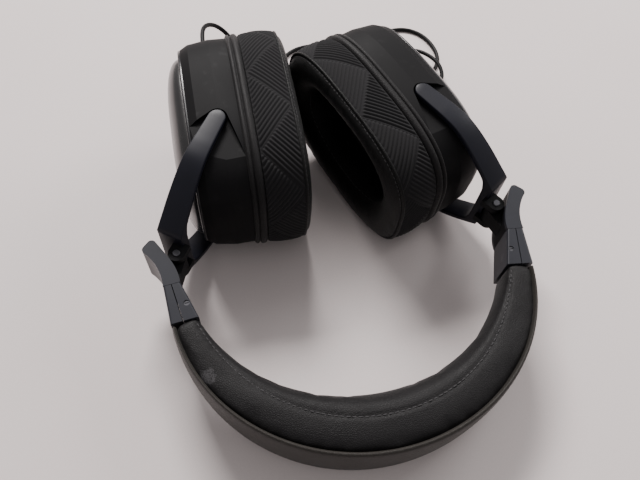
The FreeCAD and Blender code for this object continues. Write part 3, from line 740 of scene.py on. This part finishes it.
# %% Headband pad
SCUFF_ANGLE, SCUFF_R, SCUFF_TONE = math.radians(-62.5), 0.0040, (0.052, 0.050, 0.053)
scuff = arc(SCUFF_ANGLE, -3.4, taper(SCUFF_ANGLE, CROWN_HALF, END_HALF) - 1.0)
pad_skin = leatherette("pad_leatherette", (0.0085, 0.0078, 0.0084), 0.5, 0.85,
                       wear=(scuff, SCUFF_R, SCUFF_TONE))
STITCH_CROWN, STITCH_END = -14.7, -7.2
PAD_OUTER, PAD_SLACK, PUCKER_STEP = -1.05, 0.55, 2.9


def stitch_offset(theta):
    """How far inside the outer seam the stitches run."""
    share = 1.0 - np.cos(theta)
    return STITCH_CROWN + (STITCH_END - STITCH_CROWN) * share ** 3.0


def pad_section(theta):
    """One closed section of the slack pad: offsets and levels, from the outer seam round."""
    half = taper(theta, CROWN_HALF, END_HALF) - PAD_SLACK
    inner = -taper(theta, CROWN_PAD, END_PAD) + PAD_SLACK
    seam = stitch_offset(theta)
    outer = PAD_OUTER
    top = [(outer, 0.0), (outer, half - 3.6), (outer - 0.25, half - 1.9),
           (outer - 1.2, half - 0.55), (outer - 3.0, half - 0.02),
           (outer * 0.45 + seam * 0.55, half + 0.12), (seam + 1.2, half - 0.1),
           (seam, half - 0.3), (seam - 1.2, half - 0.22)]
    start = (seam - 1.2, half - 0.22)
    for step in range(1, 11):
        angle = step * math.pi / 20
        top.append((start[0] + (inner - start[0]) * math.sin(angle) ** 0.86,
                    start[1] * math.cos(angle) ** 0.74))
    mirrored = [(offset, -level) for offset, level in reversed(top[1:-1])]
    return top + mirrored


headband_cushion = swept("headband_cushion", pad_section, 0.004, 97, pad_skin)
stuffed(headband_cushion, 2.6, 4.0, 0.9, slack=-0.03)

# %% [markdown]
# A remesh cannot keep a seam narrower than its cells, so the stitched pinch is pressed back in
# after inflation, as thread would. It puckers once per stitch, and fades out at the band's ends.

# %% Press the stitched seam back in
PINCH_HALF, PINCH_DEPTH, END_GAP = 0.75, 0.85, 0.05
points = positions(headband_cushion)
theta, offset, level = arc_of(points)
near = np.exp(-((offset - stitch_offset(theta)) / PINCH_HALF) ** 2)
pinch = near * (np.abs(level) > taper(theta, CROWN_HALF, END_HALF) * 0.6)
pucker = 0.75 + 0.25 * np.sin(theta * BAND_RX / PUCKER_STEP * 2 * math.pi)
ends = np.clip((ARC_END - np.abs(theta)) / END_GAP, 0.0, 1.0)
points = points - (np.sign(level) * pinch * pucker * ends * PINCH_DEPTH)[:, None] * W_WAY * MM
place_vertices(headband_cushion, points)
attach(headband_cushion, "headband")
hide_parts("headband_pad")
print("headband cushion:", len(points), "points")

# %% [markdown]
# The cover is a firmer strip of leatherette over the spring. It is crowned, its long edges are
# turned in, and where it meets the pad both edges roll down into a dark seam.

# %% Headband cover
cover_skin = leatherette("cover_leatherette", (0.030, 0.0265, 0.0235), 0.43, 0.6)
CROWN_COVER, END_COVER = 1.6, 0.6


def cover_section(theta):
    """One closed section of the cover; its long edges reach in over the pad."""
    half = taper(theta, CROWN_HALF, END_HALF)
    out = taper(theta, CROWN_COVER, END_COVER)
    side = [(-1.3, half - 3.4), (-0.95, half - 1.7), (-0.55, half - 0.6), (-0.15, half - 0.12),
            (0.35, half - 0.05), (out - 0.55, half - 0.35), (out - 0.2, half - 1.1),
            (out, half - 2.6), (out + 0.45, half * 0.55), (out + 0.6, 0.0)]
    return side + [(offset, -level) for offset, level in reversed(side[:-1])]


cover_strip = swept("headband_cover_strip", cover_section, 0.003, 121, cover_skin)
smooth = cover_strip.modifiers.new("smooth", "SUBSURF")
smooth.levels = smooth.render_levels = 1
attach(cover_strip, "headband")
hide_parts("headband_cover")
print("cover:", 2 * CROWN_HALF, "mm wide at the crown,", 2 * END_HALF, "mm at its ends")

# %% [markdown]
# Stitches are short threads that dive into the leather at both ends. Each is a little capsule
# lying on the pad, bent down at its tips. They are placed by a ray from above, so they sit on
# the inflated surface wherever it ended up.

# %% Stitches round the band
thread = cloth("sewing_thread", (0.055, 0.053, 0.055), 0.2)


def capsules(name, middles, ways, ups, length_mm, radius_mm, material):
    """Many threads as one mesh: tapered tubes along ways, sagging at both ends along minus ups."""
    along = np.linspace(-1.0, 1.0, 7)
    thick = np.sqrt(np.clip(1.0 - along ** 6, 0.08, 1.0))
    dip = np.abs(along) ** 3 * 0.9
    turn = np.linspace(0, 2 * math.pi, 6, endpoint=False)
    points, faces = [], []
    for middle, way, up in zip(middles, ways, ups):
        side = np.cross(way, up)
        first = len(points)
        for share, wide, low in zip(along, thick, dip):
            centre = middle + way * share * length_mm * MM / 2 - up * low * radius_mm * MM
            for angle in turn:
                out = side * math.cos(angle) + up * math.sin(angle)
                points.append(centre + out * wide * radius_mm * MM)
        faces += grid_faces(len(along), len(turn), ends=True, first=first)
    return mesh_piece(name, points, faces, material)


cushion_tree = surface_tree(headband_cushion)
STITCH_STEP, STITCH_LENGTH, STITCH_R, RAY_START = 3.0, 2.1, 0.27, 30.0
for label, way_up in (("upper", 1.0), ("lower", -1.0)):
    middles, ways = [], []
    count = int(2 * (ARC_END - END_GAP) * BAND_RX / STITCH_STEP)
    for theta in np.linspace(-ARC_END + END_GAP, ARC_END - END_GAP, count):
        above = arc(theta, stitch_offset(theta), RAY_START * way_up)
        hit = cushion_tree.ray_cast(Vector(above), Vector(-W_WAY * way_up))[0]
        if hit is None:
            continue
        ahead = arc(theta + 0.01, stitch_offset(theta + 0.01), RAY_START * way_up)
        middles.append(np.array(hit) + W_WAY * way_up * 0.12 * MM)
        ways.append((ahead - above) / np.linalg.norm(ahead - above))
    seam = capsules("band_stitches_" + label, middles, ways, [W_WAY * way_up] * len(middles),
                    STITCH_LENGTH, STITCH_R, thread)
    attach(seam, "headband")
    print(label, "seam:", len(middles), "stitches")

# %% [markdown]
# The sliding ends are satin plastic in a blue-grey slate; the hinge parts behind them are darker
# and plainer. Their shapes come from CAD. What CAD leaves out is the tiny radius that every
# moulded edge has, and that radius is what catches the light, so a bevel adds it as a modifier.

# %% Plastic and metal parts that keep their CAD shape
slate = moulded("slate_satin", (0.020, 0.021, 0.027), 0.42, 0.4, 0.012, 0.05, shine=0.25)
dark = moulded("dark_matt", (0.0045, 0.0045, 0.0055), 0.55, shine=0.15)
shell_black = moulded("shell_etched", (0.0062, 0.006, 0.0066), 0.6, 0.45, 0.03, shine=0.1)
steel = metal("brushed_steel", (0.62, 0.62, 0.64), 0.3, 0.35)
screw_steel = metal("blued_screw", (0.10, 0.10, 0.11), 0.38, 0.4)
film = moulded("diaphragm_film", (0.32, 0.29, 0.24), 0.25, 0.6, 0.01)
magnet_zinc = metal("zinc_magnet", (0.5, 0.5, 0.51), 0.35, 0.8)
lacquer = moulded("board_lacquer", (0.02, 0.11, 0.05), 0.3, 0.8, 0.015, 0.3)
NODE_FINISHES = [
    ("end_cap_screws", screw_steel, 0.0), ("end_cap", slate, 0.7), ("hinge_housing", slate, 0.8),
    ("hinge_liner", dark, 0.4), ("hinge_lug", dark, 0.5), ("knuckle", dark, 0.5),
    ("fold_pin", screw_steel, 0.0),
    ("slider_strip", steel, 0.25), ("slider_guide", dark, 0.3), ("pivot_screws", dark, 0.0),
    ("pivot_bushes", dark, 0.0), ("cup_shell", shell_black, 0.0), ("headband_spring", steel, 0.0),
    ("baffle_screws", screw_steel, 0.0), ("baffle", dark, 0.0), ("driver_frame", dark, 0.0),
    ("driver_diaphragm", film, 0.0), ("driver_magnet", magnet_zinc, 0.0),
    ("circuit_board", lacquer, 0.0),
]
dressed = 0
for name, node in nodes.items():
    found = [row for row in NODE_FINISHES if name.startswith(row[0])]
    if found:
        _, material, edge_mm = found[0]
        node.data.materials.clear()
        node.data.materials.append(material)
        if edge_mm:
            blended_edges(node, edge_mm)
        dressed += 1
print("CAD nodes given finishes:", dressed)

# %% [markdown]
# Each yoke is one fork: a base that stands over the fold pin, and two nearly straight arms that
# bow in before their tips. A box bent in several places would show its corners, so the fork is
# lofted: pairs of points on its outer and inner face, joined by a smooth curve, each carrying a
# rounded rectangle. The arms narrow from the base, and end in half-round tips over the cup's
# pivots.

# %% Yokes
yoke_finish = moulded("yoke_satin", (0.0065, 0.007, 0.0125), 0.46, 0.4, 0.01, 0.04, shine=0.2)
ARM_HALF, ROOT_HALF, ROOT_OFFSET, FORK_EDGE = 4.3, 6.5, 4.9, 0.6
BASE_FRONT, BASE_BACK = 4.1, 9.5
FORK_OUTER = [(50.0, 37.4), (43.0, 37.3), (36.0, 36.5), (30.0, 34.4), (24.0, 31.2),
              (17.0, 26.6), (10.0, 21.2), (6.0, 18.1)]
FORK_INNER = [(50.0, 34.4), (43.4, 34.3), (36.7, 33.6), (31.2, 31.7), (25.5, 28.6),
              (18.7, 24.1), (11.8, 18.8), (9.7, 13.5)]
FORK_BASE = [((BASE_FRONT, outer), (BASE_BACK, inner))
             for outer, inner in ((16.5, 11.5), (14.5, 10.0), (6.0, 6.0), (0.0, 0.0))]


def smooth_line(points, steps):
    """A Catmull-Rom curve through a few points."""
    points = np.asarray(points, float)
    padded = np.vstack([2 * points[0] - points[1], points, 2 * points[-1] - points[-2]])
    made = []
    for a, b, c, d in zip(padded, padded[1:], padded[2:], padded[3:]):
        for t in np.linspace(0, 1, steps, endpoint=False):
            made.append(0.5 * (2 * b + (c - a) * t + (2 * a - 5 * b + 4 * c - d) * t ** 2
                               + (3 * b - a - 3 * c + d) * t ** 3))
    return np.array(made + [points[-1]])


def rounded_rectangle(half_a, half_b, radius):
    """A rectangle's outline with five points round each corner."""
    radius = min(radius, 0.9 * half_a, 0.9 * half_b)
    found = []
    for corner, (sign_a, sign_b) in enumerate(((1, 1), (-1, 1), (-1, -1), (1, -1))):
        for angle in np.linspace(0, math.pi / 2, 5) + corner * math.pi / 2:
            found.append((sign_a * (half_a - radius) + radius * math.cos(angle),
                          sign_b * (half_b - radius) + radius * math.sin(angle)))
    return np.array(found)


def fork_sections(side):
    """Rounded rectangles from one tip, through the base, to the other; the edges stay straight."""
    tips = [(ARM_REACH + ARM_HALF * math.sin(angle), ARM_HALF * math.cos(angle))
            for angle in np.linspace(math.radians(87), 0, 9)]
    outside, inside = FORK_OUTER[0][1], FORK_INNER[0][1]
    half_fork = [((y, outside), (y, inside), half) for y, half in tips]
    half_fork += [((y, outside), (y, inside), None) for y in (57.0, 53.5)]
    arms = zip(smooth_line(FORK_OUTER, 7), smooth_line(FORK_INNER, 7))
    half_fork += [(tuple(out), tuple(into), None) for out, into in arms]
    half_fork += [(out, into, None) for out, into in FORK_BASE]
    other = [((out[0], -out[1]), (into[0], -into[1]), half)
             for out, into, half in reversed(half_fork[:-1])]
    sections = []
    for out, into, half in half_fork + other:
        out, into = np.array(out), np.array(into)
        middle, thick = (out + into) / 2, np.linalg.norm(out - into)
        way = (out - into) / thick
        share = min(1.0, (ARM_REACH - middle[0]) / (ARM_REACH - BASE_FRONT))
        half = half or ARM_HALF + (ROOT_HALF - ARM_HALF) * share
        centre = ARM_OFFSET + (ROOT_OFFSET - ARM_OFFSET) * max(0.0, share)
        ring = rounded_rectangle(half, thick / 2, FORK_EDGE)
        sections.append(yoke(side, centre + ring[:, 0], middle[0] + ring[:, 1] * way[0],
                             middle[1] + ring[:, 1] * way[1]))
    return np.array(sections)


for side in SIDES:
    fork = skin_piece("yoke_fork_" + side, fork_sections(side), yoke_finish, ends=True)
    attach(fork, "yoke_" + side)
    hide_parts("yoke_" + side)
print("fork sections:", fork_sections("left").shape[0])

# %% [markdown]
# An ear cup is a stack of ovals. The outline is a superellipse, squarer than an ellipse, and its
# points are spread evenly along its length, because ribs and stitches are counted in millimetres
# of cloth and not in degrees.

# %% Ovals of a cup
OVAL_POWER, OPENING_POWER = 3.0, 2.4
OPENING = (34.5, 20.5)


def oval(angle, half_height, half_width, power=OVAL_POWER):
    """Heights and widths of a superellipse at the angles."""
    height = half_height * np.sign(np.cos(angle)) * np.abs(np.cos(angle)) ** (2 / power)
    width = half_width * np.sign(np.sin(angle)) * np.abs(np.sin(angle)) ** (2 / power)
    return np.stack([height, width])


def even_angles(count):
    """Angles whose points lie evenly along the cup's outline, and the outline's length."""
    fine = np.linspace(0, 2 * math.pi, 8001)
    line = oval(fine, CUP_HALF_HEIGHT, CUP_HALF_WIDTH)
    run = np.concatenate([[0], np.cumsum(np.linalg.norm(np.diff(line, axis=1), axis=0))])
    return np.interp(np.linspace(0, run[-1], count, endpoint=False), run, fine), run[-1]


def cup_rings(side, rings, count):
    """Rings of an oval stack; each is (depth, inset)."""
    angles, _ = even_angles(count)
    grid = []
    for depth, inset in rings:
        height, width = oval(angles, CUP_HALF_HEIGHT - inset, CUP_HALF_WIDTH - inset)
        grid.append(cup(side, np.full(count, depth), height, width))
    return np.array(grid)


def across_ring(side, angles, share, depth, inset):
    """Points part of the way from the cushion's outline, 0, to its opening, 1."""
    outer = oval(angles, CUP_HALF_HEIGHT - inset, CUP_HALF_WIDTH - inset)
    inner = oval(angles, OPENING[0], OPENING[1], OPENING_POWER)
    middle = outer * (1 - share) + inner * share
    return cup(side, np.full(len(angles), depth), middle[0], middle[1])


OUTLINE_LENGTH = even_angles(8)[1]
print("cup outline:", round(OUTLINE_LENGTH), "mm round")

# %% [markdown]
# The cushion has three parts. A foam ring in soft leatherette is blown up by the cloth solver.
# Round it goes a wall of ribbed cloth in triangular panels, and its ribs are modelled, because
# they are coarse enough to cast their own shadows: each point asks on which side of the zigzag
# it lies and rises or sinks with the ribs of that panel. A thin piping hides where ring and
# wall meet.

# %% Ribbed wall
ear_skin = leatherette("ear_leatherette", (0.0032, 0.0032, 0.0034), 0.42, 0.7)
rib_cloth = cloth("ribbed_cloth", (0.013, 0.0125, 0.0135), 0.3)
WALL_FRONT, WALL_BACK = -15.1, 3.9
RIB_PITCH, RIB_HEIGHT, PANELS = 1.9, 0.8, 14


def rib_height(run, depth):
    """How far the wall stands out, from the distance round it and the distance from its front."""
    span = WALL_BACK - WALL_FRONT
    half_period = OUTLINE_LENGTH / PANELS
    slope = span / half_period
    swing = np.abs((run / half_period + 1.0) % 2.0 - 1.0) * span
    slant = math.hypot(1.0, slope)
    count = round(2 * span / slant / RIB_PITCH)
    pitch = 2 * span / slant / count
    way = np.where(depth < swing, 1.0, -1.0)
    phase = (depth + way * slope * run) / slant / pitch
    rib = (0.5 + 0.5 * np.cos(2 * math.pi * phase)) ** 0.65
    from_seam = np.abs(depth - swing) / slant
    rib = rib * (1.0 - 0.8 * np.exp(-(from_seam / 0.45) ** 2))
    border = np.clip(np.minimum(depth, span - depth) / 0.9, 0.0, 1.0)
    return RIB_HEIGHT * (rib - 0.45) * border


def ribbed_wall(side):
    """The cushion's outer wall, fine enough to hold every rib."""
    columns, rows = 880, 50
    angles, length = even_angles(columns)
    run = np.linspace(0, length, columns, endpoint=False)
    grid = []
    for depth in np.linspace(WALL_FRONT, WALL_BACK, rows):
        share = (depth - WALL_FRONT) / (WALL_BACK - WALL_FRONT)
        inset = 1.05 - 1.25 * math.sin(math.pi * min(1.0, share * 0.95 + 0.03)) ** 0.8
        lift = rib_height(run, depth - WALL_FRONT)
        height, width = oval(angles, CUP_HALF_HEIGHT - inset, CUP_HALF_WIDTH - inset)
        ahead = np.stack([np.roll(line, -1) - np.roll(line, 1) for line in (height, width)])
        out = np.stack([ahead[1], -ahead[0]]) / np.linalg.norm(ahead, axis=0)
        grid.append(cup(side, np.full(columns, depth), height + out[0] * lift,
                        width + out[1] * lift))
    grid = [cup_rings(side, [(WALL_FRONT + 0.4, 2.6)], columns)[0]] + grid
    grid += [cup_rings(side, [(WALL_BACK - 0.1, 3.0)], columns)[0]]
    return skin_piece("cushion_wall_" + side, np.array(grid), rib_cloth)


print("ribs", RIB_PITCH, "mm apart in", PANELS, "panels")

# %% [markdown]
# The foam ring is swept round the outline by its section, which is given from the outline, 0, to
# the opening, 1. Stitches follow both its edges, each dropped on the blown-up skin by a ray from
# in front, as on the band. Ring, wall, piping and stitches are joined, because they are one
# cushion that comes off in one piece.

# %% Foam ring, piping and stitches
RING_SECTION = [(0.0, -14.4), (0.025, -16.2), (0.09, -17.7), (0.2, -18.5), (0.36, -18.8),
                (0.54, -18.4), (0.72, -17.0), (0.87, -14.6), (0.97, -11.0), (1.0, -6.0),
                (1.0, 2.8), (0.5, 3.1), (0.02, 3.1), (0.02, -3.0), (0.01, -9.0)]
PIPING_DEPTH, PIPING_INSET, PIPING_R = -15.35, 1.15, 0.8
SEAMS = [(0.055, 2.3), (0.9, 2.6)]


def piping(side):
    """A thin round cord sewn along the outline."""
    turn = np.linspace(0, 2 * math.pi, 8, endpoint=False)
    rings = [(PIPING_DEPTH + PIPING_R * math.sin(angle), PIPING_INSET - PIPING_R * math.cos(angle))
             for angle in turn]
    return skin_piece("edge_piping", cup_rings(side, rings, 260), ear_skin, closed=True)


def oval_seam(side, tree, front_way, share, step_mm):
    """Stitches round the ring, part of the way from its outline to its opening."""
    at = even_angles(int(OUTLINE_LENGTH * (1 - 0.42 * share) / step_mm))[0]
    line = across_ring(side, at, share, -RAY_START, 1.2)
    ways = np.roll(line, -1, axis=0) - np.roll(line, 1, axis=0)
    ways /= np.linalg.norm(ways, axis=1)[:, None]
    middles = []
    for point in line:
        hit = tree.ray_cast(Vector(point), Vector(-front_way))[0]
        middles.append(point if hit is None else np.array(hit) + front_way * 0.1 * MM)
    return capsules("seam", middles, ways, [front_way] * len(middles), step_mm * 0.7, 0.2, thread)


def joined(pieces):
    """Several meshes as one piece; each keeps its own finish."""
    bpy.ops.object.select_all(action="DESELECT")
    for piece in pieces:
        piece.select_set(True)
    bpy.context.view_layer.objects.active = pieces[0]
    bpy.ops.object.join()
    return pieces[0]


for side in SIDES:
    angles, _ = even_angles(180)
    section = [across_ring(side, angles, share, depth, 1.9) for share, depth in RING_SECTION]
    ring = skin_piece("ear_cushion_" + side, np.array(section), ear_skin, closed=True)
    stuffed(ring, 2.4, 5.0, 0.8, slack=-0.05)
    tree = surface_tree(ring)
    front_way = cup(side, -1.0, 0.0, 0.0) - cup(side, 0.0, 0.0, 0.0)
    front_way /= np.linalg.norm(front_way)
    seams = [oval_seam(side, tree, front_way, share, step_mm) for share, step_mm in SEAMS]
    cushion = joined([ring, ribbed_wall(side), piping(side)] + seams)
    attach(cushion, "cup_" + side)
    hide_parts("ear_pad_" + side)
    print(cushion.name, len(cushion.data.vertices), "points")

# %% [markdown]
# Behind the cushion comes a rolled lip of leatherette with two grooves, then the hard shell from
# CAD. On its back sit a thin double trim line and a lacquered dome. Dome and trim are stacks of
# ovals again; the dome's ovals shrink along a superellipse so that its reflection runs smoothly
# from the rim to the middle.

# %% Lip, trim and dome
trim_gloss = moulded("gloss_trim_line", (0.008, 0.008, 0.010), 0.3, 0.5, 0.004, 0.25)
dome_gloss = moulded("lacquered_dome", (0.014, 0.0135, 0.014), 0.3, 0.5, 0.004, 0.45)
LIP = [(4.15, 3.6), (4.1, 1.9), (4.25, 1.0), (4.8, 0.2), (5.6, -0.25), (6.5, -0.3),
       (7.3, -0.05), (7.8, 0.55), (8.05, 1.25), (8.3, 0.6), (8.8, 0.1), (9.5, 0.0),
       (10.1, 0.25), (10.55, 0.9), (10.65, 1.8), (10.6, 3.6)]
TRIM = [(34.4, 4.9), (35.0, 4.75), (35.6, 4.95), (35.85, 5.4), (35.75, 5.9), (35.3, 6.25),
        (35.3, 6.6), (35.75, 6.9), (35.85, 7.3), (35.6, 7.75), (34.6, 8.0)]
DOME_FOOT, DOME_RISE, DOME_INSET = 34.6, 10.3, 8.35
DOME_LIFTS = np.radians([0, 3, 8, 14, 21, 29, 38, 47, 56, 65, 73, 80, 85, 88.5])
for side in SIDES:
    lip = skin_piece("cushion_lip_" + side, cup_rings(side, LIP, 300), pad_skin)
    trim = skin_piece("trim_line_" + side, cup_rings(side, TRIM, 300), trim_gloss)
    angles, _ = even_angles(200)
    rings = []
    height, width = oval(angles, CUP_HALF_HEIGHT - DOME_INSET, CUP_HALF_WIDTH - DOME_INSET)
    for lift in DOME_LIFTS:
        size, depth = math.cos(lift) ** 0.62, DOME_FOOT + DOME_RISE * math.sin(lift) ** 0.86
        rings.append(cup(side, np.full(200, depth), height * size, width * size))
    dome = skin_piece("outer_dome_" + side, np.array(rings), dome_gloss, ends=True)
    for piece, node, slot in ((lip, "cushion_rim_", "pad_leather"),
                              (trim, "trim_ring_", "gloss_trim"),
                              (dome, "outer_cover_", "gloss_cover")):
        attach(piece, "cup_" + side)
        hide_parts(node + side)
print("lip, trim and dome:", len(LIP), len(TRIM), len(DOME_LIFTS), "rings")

# %% [markdown]
# Deep in each opening a knitted cloth covers the driver. It is sewn to the foam at its edge and
# stands a little proud in the middle, so it is a shallow dome of rings rather than a flat plate.

# %% Driver cloth
knit = cloth("driver_knit", (0.005, 0.005, 0.0055), 0.45)
KNIT_DEPTH, KNIT_RISE = 3.2, 0.55
for side in SIDES:
    angles = np.linspace(0, 2 * math.pi, 120, endpoint=False)
    rings = []
    for size in (1.0, 0.97, 0.9, 0.75, 0.55, 0.3, 0.08):
        height, width = oval(angles, OPENING[0] * size, OPENING[1] * size, OPENING_POWER)
        depth = KNIT_DEPTH - KNIT_RISE * (1 - size ** 3)
        rings.append(cup(side, np.full(120, depth), height, width))
    veil = skin_piece("driver_cloth_" + side, np.array(rings), knit)
    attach(veil, "cup_" + side)
    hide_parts("driver_mesh_" + side)
print("driver cloth stands", KNIT_RISE, "mm proud")

# %% [markdown]
# The floor is only a stage: a pale table top with the faint mottling of laminate, wide enough
# that its edge never shows.

# %% Floor
table = Finish("pale_table", Specular_IOR_Level=0.35)
speck = table.noise(1.2, 2.0)
cloudy = table.noise(160.0, 2.0)
tone = table.blend(cloudy, (0.70, 0.625, 0.615), (0.77, 0.695, 0.685))
tone = table.blend(speck * 0.25, tone, (0.56, 0.505, 0.50))
table_top = table.finish(tone, 0.55 + 0.1 * speck)
FLOOR_HALF = 2.5
corners = [(x * FLOOR_HALF, y * FLOOR_HALF, 0.0)
           for x, y in ((-1, -1), (1, -1), (1, 1), (-1, 1))]
floor = mesh_piece("floor", corners, [(0, 1, 2, 3)], table_top)
print("floor:", 2 * FLOOR_HALF, "m wide")
